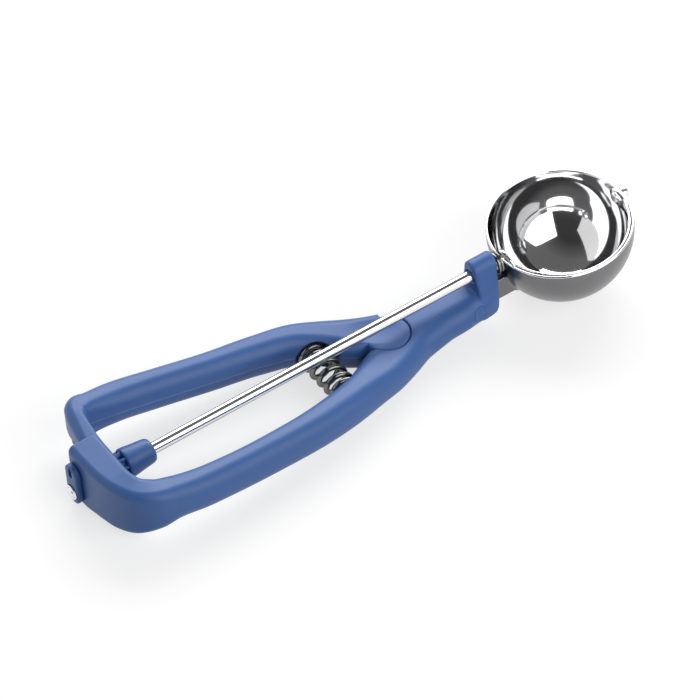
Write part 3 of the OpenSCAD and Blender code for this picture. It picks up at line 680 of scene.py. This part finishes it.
def back_field(loc, x, y, z):
    """The lever: finger arm, hinge knuckle, and tail with the rack."""
    d = Bar.field(loc, z, end=0.7, r=0.7)
    # the collar's and the pinion's room when the lever is home, where the rod lies at ty = 0
    c, s = math.cos(LEVER_SWEEP), math.sin(LEVER_SWEEP)
    dx = x - HINGE_X
    tx, ty = HINGE_X + c * dx - s * y, s * dx + c * y
    room = np.maximum(np.hypot(ty, z) - COLLAR_R - COLLAR_GAP, between(tx, HOUSING_BACK, COLLAR_FRONT))
    d = minus(d, room, 0.5)
    block = overlap(between(tx, HOUSING_BACK, BLOCK_FRONT), between(ty, *BLOCK_Y), between(z, *BLOCK_Z))
    d = minus(d, block, 0.4)
    # the knuckle, with a shallow dish in its top, and nothing else over the front handle's half
    hinge = np.hypot(dx, y)
    d = minus(d, np.maximum(hinge - PLATE_R - PLATE_GAP, z - LAP_Z - LAP_GAP), 0.5)
    bare = np.minimum(wedge(x, y, CROTCH_ANGLE - LEVER_SWEEP - CROTCH_SLACK, BARE_MIDDLE),
                      wedge(x, y, BARE_FROM, BARE_TO))
    d = minus(d, np.maximum(bare, between(hinge, KNUCKLE_R, HINGE_REACH)), 0.4)
    knuckle = round_and(hinge - KNUCKLE_R, between(z, LAP_Z + LAP_GAP, KNUCKLE_TOP), 0.7)
    d = round_or(d, knuckle, 0.6)
    dish = np.sqrt(dx**2 + y**2 + (z - KNUCKLE_TOP - DISH_R + DISH_DEPTH) ** 2) - DISH_R
    d = minus(d, dish, 0.3)
    d = minus(d, np.maximum(hinge - PIN_R - PIN_FIT, z - PIN_TOP), 0.2)
    # the spring's end shifts along its seat as the lever closes
    seat = spring_seat(x, y, z, SPRING_SEATS[1] - BACK_SEAT_DEPTH, SPRING_SEATS[1], SEAT_SHIFT)
    d = minus(d, seat, 0.5)
    return np.minimum(d, rack_teeth(x, y, z))


def make_handle(name, bar, field, lo, hi, mat, body, node):
    p, n, q = mesh_field(field, lo, hi, GRID, bar)
    add_mesh(name, p, q, mat, body, [node], n)


make_handle("front_grip", FRONT, front_field, (-208, -36, -20.5), (-28.5, 13, 19),
            BLUE, "handle", "front_handle")
make_handle("back_grip", BACK, back_field, (-202, -9.5, -20.5), (-66, 30.5, 17),
            LEVER_BLUE, "lever", "back_handle")


# ---------------------------------------------------------------- bowl end
WALL, RIM_Z, JOURNAL_R = 1.0, 2.2, 1.5
BOWL_IN = BOWL_R - WALL
LIP_R = WALL / 2
RIM_MIDDLE = 0.55 * (RIM_Z - LIP_R)
BOWL_SIDES, BOWL_RINGS, LIP_RINGS = 192, 56, 12


def arc(cx, cz, r, a0, a1, n):
    """Points of a circle from angle a0 to a1 in degrees."""
    angles = [math.radians(a0 + (a1 - a0) * i / n) for i in range(n + 1)]
    return [(cx + r * math.cos(a), cz + r * math.sin(a)) for a in angles]


def facing(points, centre, sign=1):
    """Each point with its normal, away from the centre or, where sign is -1, towards it."""
    out = []
    for r, z in points:
        far = sign * math.hypot(r - centre[0], z - centre[1])
        out.append((r, z, (r - centre[0]) / far, (z - centre[1]) / far))
    return out


def make_bowl():
    """The pressed bowl: satin outside, mirror inside, with a rolled bright rim and a bore at each
    pole of the rod's axis."""
    lip = RIM_Z - LIP_R
    outer = facing(arc(0, 0, BOWL_R, -90, 0, BOWL_RINGS), (0, 0))
    rolled = facing(arc(BOWL_R - LIP_R, lip, LIP_R, 0, 180, LIP_RINGS), (BOWL_R - LIP_R, lip))
    rim = [(BOWL_R, RIM_MIDDLE, 1, 0)] + rolled + [(BOWL_IN, RIM_MIDDLE, -1, 0)]
    inner = facing(arc(0, 0, BOWL_IN, 0, -90, BOWL_RINGS), (0, 0), -1)
    r, z, nr, nz = np.array(outer + rim + inner).T[:, :, None]
    a = 2 * np.pi * (np.arange(BOWL_SIDES) + 0.5) / BOWL_SIDES
    r = np.maximum(r, 0)
    flat = np.zeros(BOWL_SIDES)
    pts = np.stack([r * np.cos(a), r * np.sin(a), z + flat], -1).reshape(-1, 3)
    normal = np.stack([nr * np.cos(a), nr * np.sin(a), nz + flat], -1).reshape(-1, 3)
    n = len(z)
    hole = (np.hypot(pts[:, 1], pts[:, 2]) < JOURNAL_R) & (np.abs(pts[:, 0]) > BOWL_IN)

    def quad(k, i):
        j = (i + 1) % BOWL_SIDES
        below, above = k * BOWL_SIDES, (k + 1) * BOWL_SIDES
        return below + i, below + j, above + j, above + i

    def inside(v):
        """The vertex of the inner skin that lies behind v of the outer one."""
        return (n - 1 - v // BOWL_SIDES) * BOWL_SIDES + v % BOWL_SIDES

    cells = [(k, i) for k in range(n - 1) for i in range(BOWL_SIDES)]
    bored = {(k, i) for k, i in cells if k < len(outer) and hole[list(quad(k, i))].any()}
    edges = [e for k, i in bored for e in zip(quad(k, i), quad(k, i)[1:] + quad(k, i)[:1])]
    faces, mats = [], []
    for k, i in cells:
        if (k, i) not in bored and (n - 2 - k, i) not in bored:
            faces.append(quad(k, i))
            mats.append(0 if k < len(outer) + 1 else 1)
    # the bores' walls join the outer skin to the inner one
    for a, b in edges:
        if (b, a) not in edges:
            faces.append((a, b, inside(b), inside(a)))
            mats.append(1)
    keep = sorted({v for f in faces for v in f})
    index = {v: i for i, v in enumerate(keep)}
    faces = [tuple(index[v] for v in f) for f in faces]
    o = add_mesh("bowl_shell", pts[keep], faces, [SATIN, MIRROR], "handle", ["bowl"],
                 normal[keep], mats)
    # at the bottom, the first and the last ring shrink to a point: their vertices become one
    bm = bmesh.new()
    bm.from_mesh(o.data)
    bmesh.ops.remove_doubles(bm, verts=bm.verts, dist=2e-6)
    bm.to_mesh(o.data)
    bm.free()
    o.data.shade_smooth()


BLADE_PARK, BLADE_OUT, BLADE_IN, BLADE_HALF = math.radians(2.7), BOWL_IN - 0.3, BOWL_IN - 1.0, 3.0
# the strip's rounded edges, and how much of a sphere's curve its outside has across
BLADE_EDGE, BLADE_EDGE_MIDDLE, BLADE_CROWN, BLADE_STEPS = 0.16, 0.05, 0.9, 120
# the ears: their place and thickness, how far the strip goes into them, the round end, and the
# neck that reaches down to the strip
EAR_X, EAR_T, IN_EAR = 24.3, 1.0, 0.9
EAR_R, EAR_NECK, EAR_END, EAR_SOFT = 3.4, -1.6, -7.2, 0.12


def strip_section():
    """The strip's section as (radius, place across), its corners rounded with BLADE_EDGE."""
    def corner(r, w, sr, sw):
        near, soft = BLADE_EDGE_MIDDLE, BLADE_EDGE
        return [(r, w + sw * soft), (r + sr * near, w + sw * near), (r + sr * soft, w)]

    return (corner(BLADE_OUT, -BLADE_HALF, -1, 1) + corner(BLADE_IN, -BLADE_HALF, 1, 1)[::-1]
            + corner(BLADE_IN, BLADE_HALF, 1, -1) + corner(BLADE_OUT, BLADE_HALF, -1, -1)[::-1])


def make_strip(pts, faces):
    """The strip, bent to the bowl's inside: its middle lies further out than its edges."""
    end = math.degrees(math.acos((EAR_X + IN_EAR) / BLADE_OUT))
    section = strip_section()
    m = len(section)
    for i in range(BLADE_STEPS + 1):
        a = math.radians(180 + end + (180 - 2 * end) * i / BLADE_STEPS)
        for r, w in section:
            bent = math.sqrt(r * r - BLADE_CROWN * w * w)
            pts.append((bent * math.cos(a), bent * math.sin(a), w))
    for i in range(BLADE_STEPS):
        for k in range(m):
            k2 = (k + 1) % m
            faces.append((i * m + k, i * m + k2, (i + 1) * m + k2, (i + 1) * m + k))
    faces.append(tuple(range(m))[::-1])
    faces.append(tuple(BLADE_STEPS * m + k for k in range(m)))


def make_ear(side, pts, faces):
    """A flat round ear on the rod's axis, at the front end of the strip or at the back one."""
    base = len(pts)
    x0, x1 = side * EAR_X, side * (EAR_X + EAR_T)
    round_end = [p for p in arc(0, 0, EAR_R, -60, 240, 25) if p[1] > EAR_NECK + 0.1]
    ring = ([(BLADE_HALF, EAR_END), (BLADE_HALF, EAR_NECK)] + round_end
            + [(-BLADE_HALF, EAR_NECK), (-BLADE_HALF, EAR_END)])
    soft = side * EAR_SOFT
    for x, inset in ((x0, EAR_SOFT), (x0 + soft, 0.0), (x1 - soft, 0.0), (x1, EAR_SOFT)):
        for w, y in ring:
            s = 1 - inset / max(math.hypot(w, y), 1)
            pts.append((x, y * s, w * s))
    n = len(ring)
    for layer in range(base, base + 3 * n, n):
        for k in range(n):
            k2 = (k + 1) % n
            f = (layer + k, layer + k2, layer + n + k2, layer + n + k)
            faces.append(f if side < 0 else f[::-1])
    lo, hi = tuple(base + k for k in range(n)), tuple(base + 3 * n + k for k in range(n))
    faces.append(lo[::-1] if side < 0 else lo)
    faces.append(hi if side < 0 else hi[::-1])


def make_blade():
    """The half-ring scraper: a bent strip with an ear at each end, parked a little below level."""
    pts, faces = [], []
    make_strip(pts, faces)
    for side in (-1, 1):
        make_ear(side, pts, faces)
    x, y, z = np.array(pts).T
    c, s = math.cos(BLADE_PARK), math.sin(BLADE_PARK)
    pts = np.stack([x, y * c - z * s, y * s + z * c], 1)
    add_mesh("scraper_strip", pts, faces, MIRROR, "scraper", ["scraper_blade"])


WIRE_D, COIL_R, SPRING_TURNS, CLOSED_TURNS, SEAT_GAP = 2.2, 4.75, 5.6, 0.75, 0.1
WIRE_SIDES, TURN_STEPS = 20, 48


def spring_height(t):
    """How far along the spring the wire has come after t turns: close wound at both ends."""
    rise = WIRE_D + SEAT_GAP
    length = SPRING_SEATS[1] - SPRING_SEATS[0] - WIRE_D - 2 * SEAT_GAP
    pitch = (length - 2 * CLOSED_TURNS * rise) / (SPRING_TURNS - 2 * CLOSED_TURNS)
    closed = min(t, CLOSED_TURNS) + max(0, t - SPRING_TURNS + CLOSED_TURNS)
    opened = max(0, min(t, SPRING_TURNS - CLOSED_TURNS) - CLOSED_TURNS)
    return SPRING_SEATS[0] + WIRE_D / 2 + SEAT_GAP + rise * closed + pitch * opened


def make_spring():
    """The return spring, its ends ground flat."""
    sides, steps = WIRE_SIDES, int(SPRING_TURNS * TURN_STEPS)
    pts, faces = [], []
    for i in range(steps + 1):
        t = SPRING_TURNS * i / steps
        a = 2 * math.pi * t
        y = spring_height(t)
        for k in range(sides):
            b = 2 * math.pi * k / sides
            r = COIL_R + WIRE_D / 2 * math.cos(b)
            ground = y + WIRE_D / 2 * math.sin(b)
            ground = min(max(ground, SPRING_SEATS[0] + SEAT_GAP), SPRING_SEATS[1] - SEAT_GAP)
            pts.append((SPRING_X + r * math.cos(a), ground, SPRING_Z + r * math.sin(a)))
    for i in range(steps):
        for k in range(sides):
            k2 = (k + 1) % sides
            faces.append((i * sides + k, (i + 1) * sides + k, (i + 1) * sides + k2, i * sides + k2))
    faces.append(tuple(range(sides)))
    faces.append(tuple(steps * sides + k for k in range(sides))[::-1])
    o = add_mesh("spring_coil", pts, faces, SPRING, "handle", ["return_spring"])
    seat = to_row([(SPRING_X, SPRING_SEATS[0], SPRING_Z)])[0]
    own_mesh(o)


TEETH, TOOTH_ROOT, TOOTH_SHOULDER = 9, 3.25, 4.9
GEAR_BACK, GEAR_FRONT, GEAR_CHAMFER, GEAR_TAPER = -200.5, -187.9, 0.3, 0.94


def involute(a):
    return math.tan(a) - a


def pinion_ring():
    """The pinion's outline: both flanks of each tooth, from the root to the tip."""
    base_r = PITCH_R * math.cos(PRESSURE)

    def half(r):
        at_r = math.acos(min(1, base_r / r))
        return math.pi / (2 * TEETH) - TOOTH_SLACK / PITCH_R + involute(PRESSURE) - involute(at_r)

    radii = [TOOTH_ROOT + 0.1, base_r, (base_r + PITCH_R) / 2, PITCH_R, TOOTH_SHOULDER, PINION_TIP]
    ring = []
    for k in range(TEETH):
        mid = math.pi / 2 + (k + 0.5) * 2 * math.pi / TEETH
        for r, a in [(r, mid - half(r)) for r in radii] + [(r, mid + half(r)) for r in radii[::-1]]:
            ring.append((r * math.cos(a), r * math.sin(a)))
    return ring


def make_collar():
    """The moulded pinion and its collar, one piece on the rod."""
    ring = pinion_ring()
    n = len(ring)
    pts, faces = [], []
    for x, s in ((GEAR_BACK, GEAR_TAPER), (GEAR_BACK + GEAR_CHAMFER, 1.0), (GEAR_FRONT, 1.0)):
        pts += [(x, y * s, z * s) for y, z in ring]
    for k in range(n):
        k2 = (k + 1) % n
        for a in (0, n):
            faces.append((a + k, a + k2, a + n + k2, a + n + k))
    faces.append(tuple(range(n))[::-1])
    faces.append(tuple(2 * n + k for k in range(n)))
    gear = add_mesh("pinion_teeth", pts, faces, BLUE, "scraper", [])
    soft_edges(gear, 0.12)
    profile = [(0.01, -188.4), (5.2, -188.4), (5.5, -188.3), (5.72, -188.0), (COLLAR_R, -187.6),
               (COLLAR_R, -187.0), (5.72, -186.0), (5.2, -182.1), (4.92, -179.3), (4.8, -178.2),
               (4.6, -177.4), (4.25, -176.85), (3.8, -176.6), (2.9, -176.6), (2.35, -176.75),
               (0.01, -177.0)]
    pts, faces = lathe(profile)
    collar = add_mesh("collar_nose", pts, faces, BLUE, "scraper", ["pinion_collar"])
    soft_edges(collar, 0.15)


# the bearing cap's outline, its faces with the bore's mouth between them, and its slot
CAP_HALF, CAP_Z, CAP_HALF_Z, CAP_ROUND = 3.6, 3.85, 9.05, 3.4
CAP_BACK, CAP_MOUTH, CAP_FRONT, CAP_GAP = -209.9, -209.3, -207.35, 0.75
CAP_SLOT_HALF, CAP_SLOT_Z, CAP_SLOT_HALF_Z, CAP_SLOT_FLOOR = 1.0, 9.75, 2.25, -208.6


def cap_field(loc, x, y, z):
    """The rear bearing cap: a rounded plate with the rod's bore, its mouth opened, and a slot."""
    d = round_and(np.abs(y) - CAP_HALF, np.abs(z - CAP_Z) - CAP_HALF_Z, CAP_ROUND)
    d = round_and(d, between(x, CAP_BACK, CAP_FRONT), 0.7)
    d = minus(d, np.hypot(y, z) - ROD_R - CAP_GAP - 0.3 * np.maximum(0, CAP_MOUTH - x), 0.25)
    slot = round_and(np.abs(y) - CAP_SLOT_HALF, np.abs(z - CAP_SLOT_Z) - CAP_SLOT_HALF_Z, 0.9)
    return minus(d, np.maximum(slot, x - CAP_SLOT_FLOOR), 0.3)


# the weld: its thickness at the shank, how fast it falls off, how far it reaches, its fillet, and
# how deep the piece goes into the bowl's wall
WELD_T, WELD_FALL, WELD_REACH, WELD_FILLET, WELD_DEPTH = 0.35, 0.4, 1.4, 1.1, 0.7


def shank_field(loc, x, y, z):
    """The bowl's steel shank, with its weld flowing out onto the bowl and into its wall."""
    ball = np.sqrt(x**2 + y**2 + z**2) - BOWL_R
    d = round_and(np.abs(y) - SHANK_HALF, between(z, SHANK_BOTTOM, shank_top(x)), 0.45)
    d = np.maximum(round_and(d, SHANK_BACK - x, 0.4), x - SHANK_FRONT)
    beside = np.maximum(np.abs(y) - SHANK_HALF, between(z, SHANK_BOTTOM, SHANK_TOPS[1]))
    weld = np.maximum(ball - WELD_T + WELD_FALL * np.maximum(beside, 0), beside - WELD_REACH)
    return np.maximum(round_or(d, weld, WELD_FILLET), -WELD_DEPTH - ball)


# the plugs, and the ring that stands up on each of them
PLUG_X, PLUG_Z, PLUG_R, PLUG_LIFT, PLUG_INSIDE = -41.0, -12.3, 3.2, 0.06, 5.6
PLUG_RING_R, PLUG_RING_HALF, PLUG_RING_LIFT = 2.75, 0.3, 0.25


def plug_field(loc, x, y, z):
    """The two plugs over the rivet: the front handle's skin, lifted a little, with a raised ring."""
    skin = Bar.field(loc, z, end=0.7, r=0.8)
    r = np.hypot(x - PLUG_X, z - PLUG_Z)
    ring = np.exp(-(((r - PLUG_RING_R) / PLUG_RING_HALF) ** 2))
    raised = skin - PLUG_LIFT - PLUG_RING_LIFT * ring
    return np.maximum(round_and(raised, r - PLUG_R, 0.15), PLUG_INSIDE - np.abs(y))


BUSH_R, BUSH_BORE, BUSH_GROOVE = 4.25, 1.6, 0.7
BUSH_RIDGES = ((-26.9, -27.9), (-28.15, -29.2))


def make_bush():
    """The collar between the bowl and the head, turned with a groove round its middle."""
    root, soft = BUSH_R - BUSH_GROOVE, BUSH_R - 0.18
    profile = [(BUSH_BORE, -27.05)]
    for a, b in BUSH_RIDGES:
        profile += [(root, a), (soft, a - 0.08), (BUSH_R, a - 0.35)]
        profile += [(BUSH_R, b + 0.35), (soft, b + 0.08), (root, b)]
    profile.append((BUSH_BORE, BUSH_RIDGES[-1][1]))
    pts, faces = lathe(profile[::-1], closed=True)
    add_mesh("bush_ridges", pts, faces, DARK, "handle", ["bowl_bush"])


def make_nut():
    """The push-on cap at the rod's back end: a pressed ring round the rod's domed tip."""
    profile = [(0.01, -211.2), (0.9, -211.2), (1.6, -211.1), (1.95, -210.8), (2.0, -210.35), (2.2, -210.4),
               (2.55, -210.65), (2.9, -210.5), (3.0, -210.2), (2.95, -209.95), (2.9, -209.6),
               (0.01, -209.6)]
    pts, faces = lathe(profile, sides=64)
    add_mesh("rod_nut", pts, faces, POLISHED, "scraper", ["rod_retainer"])


def make_small(name, field, lo, hi, h, mat, node, bar=None):
    """A small moulded or welded piece on the handle body."""
    p, n, q = mesh_field(field, lo, hi, h, bar)
    add_mesh(name, p, q, mat, "handle", [node], n)


make_bowl()
make_blade()
make_spring()
make_collar()
make_bush()
make_nut()
make_small("bearing_cap", cap_field, (-210.4, -4.2, -5.8), (-206.9, 4.2, 13.5), 0.22,
           BLUE, "rear_bearing_cap")
make_small("welded_shank", shank_field, (-47.5, -5, -18), (-18, 5, -5), 0.33, SATIN, "bowl_shank")
make_small("neck_plugs", plug_field, (-44.4, -9.6, -15.7), (-37.6, 9.6, -8.9), 0.2,
           BLUE, "rivet_plugs", FRONT)


# ---------------------------------------------------------------- stage
FLOOR_HALF = 3.0
# how much the floor is lifted to white where it is seen by the camera or in metal
FLOOR_LIFT = 0.67
# the walls' brightness by how steeply one looks up, and the corner that is darkened by DARK_TO
STUDIO = [(0.0, 0.9), (0.07, 0.85), (0.2, 0.26), (0.5, 0.16), (1.0, 0.14)]
DARK_CORNER, DARK_FROM, DARK_FULL, DARK_TO = (-0.709, -0.41, 0.574), 0.45, 0.85, 0.3
# the softboxes: their radiance and their corners
PANELS = (
    ("front_light", 2.0, [(-0.24, -0.67, 1.2), (0.85, -0.70, 1.2), (0.70, -0.70, 0.1), (-0.24, -0.67, 0.1)]),
    ("left_light", 0.62, [(-0.44, 1.03, 1.2), (-1.1, -0.34, 1.2), (-1.1, -0.34, 0.1), (-0.44, 1.03, 0.1)]),
    ("rear_light", 4.0, [(1.12, 0.34, 1.35), (0.0, 1.31, 1.35), (0.0, 1.31, 0.35), (1.12, 0.34, 0.35)]),
)


def make_floor():
    """White paper that keeps the object's shadow: seen directly or in metal, it is lifted to white."""
    s = Shader("floor_paper")
    tone = s.remap(s.noise(3.0, 2.0), 0.3, 0.7, 0.0, 1.0)
    s.set(Base_Color=s.mix(tone, grey(0.34), grey(0.36)), Roughness=0.9, Specular_IOR_Level=0.0)
    path = s.add("ShaderNodeLightPath", {}).outputs
    seen = s.calc("ADD", path["Is Camera Ray"], path["Is Glossy Ray"])
    seen = s.calc("ADD", seen, path["Is Transmission Ray"], clamp=True)
    lift = s.add("ShaderNodeEmission", {"Color": grey(1), "Strength": FLOOR_LIFT})
    both = s.add("ShaderNodeAddShader", {0: s.bsdf.outputs[0], 1: lift.outputs[0]})
    pick = s.add("ShaderNodeMixShader", {0: seen, 1: s.bsdf.outputs[0], 2: both.outputs[0]})
    s.links.new(pick.outputs[0], s.nodes["Material Output"].inputs["Surface"])
    me = bpy.data.meshes.new("floor")
    corners = [(x * FLOOR_HALF, y * FLOOR_HALF, 0) for x, y in ((-1, -1), (1, -1), (1, 1), (-1, 1))]
    me.from_pydata(corners, [], [(0, 1, 2, 3)])
    me.materials.append(s.mat)
    o = bpy.data.objects.new("floor", me)
    bpy.context.scene.collection.objects.link(o)


def make_world():
    """A studio: pale walls near the horizon, a dim ceiling above them, and one dark corner."""
    world = bpy.data.worlds.new("studio")
    bpy.context.scene.world = world
    world.use_nodes = True
    nodes, links = world.node_tree.nodes, world.node_tree.links
    direction = nodes.new("ShaderNodeTexCoord").outputs["Generated"]
    up = nodes.new("ShaderNodeSeparateXYZ")
    links.new(direction, up.inputs[0])
    ramp = nodes.new("ShaderNodeValToRGB")
    links.new(up.outputs["Z"], ramp.inputs["Fac"])
    stops = ramp.color_ramp.elements
    while len(stops) < len(STUDIO):
        stops.new(0.5)
    for stop, (z, v) in zip(stops, STUDIO):
        stop.position = z
        stop.color = grey(v)
    toward = nodes.new("ShaderNodeVectorMath")
    toward.operation = "DOT_PRODUCT"
    links.new(direction, toward.inputs[0])
    toward.inputs[1].default_value = turn_to_row(DARK_CORNER)
    shade = nodes.new("ShaderNodeMapRange")
    shade.inputs["From Min"].default_value = DARK_FROM
    shade.inputs["From Max"].default_value = DARK_FULL
    shade.inputs["To Min"].default_value = 1.0
    shade.inputs["To Max"].default_value = DARK_TO
    links.new(toward.outputs["Value"], shade.inputs["Value"])
    dim = nodes.new("ShaderNodeVectorMath")
    dim.operation = "SCALE"
    links.new(ramp.outputs["Color"], dim.inputs[0])
    links.new(shade.outputs[0], dim.inputs["Scale"])
    links.new(dim.outputs[0], nodes["Background"].inputs["Color"])


def make_panel(name, corners, radiance):
    """A softbox facing the bowl: four corners in metres about the bowl's centre, going round."""
    p = [Vector(to_row([[1000 * v for v in c]])[0]) for c in corners]
    middle = sum(p, Vector()) / 4
    across, down = (p[1] - p[0] + p[2] - p[3]) / 2, (p[3] - p[0] + p[2] - p[1]) / 2
    data = bpy.data.lights.new(name, "AREA")
    data.shape = "RECTANGLE"
    data.size, data.size_y = across.length, down.length
    data.energy = 4 * radiance * data.size * data.size_y
    o = bpy.data.objects.new(name, data)
    bpy.context.scene.collection.objects.link(o)
    x = across.normalized()
    z = x.cross(down).normalized()
    if z.dot(middle - Vector(to_row([(0, 0, 0)])[0])) < 0:
        z = -z
    o.matrix_world = Matrix((x, z.cross(x), z)).transposed().to_4x4()
    o.location = middle


make_floor()
make_world()
for name, radiance, corners in PANELS:
    make_panel(name, corners, radiance)
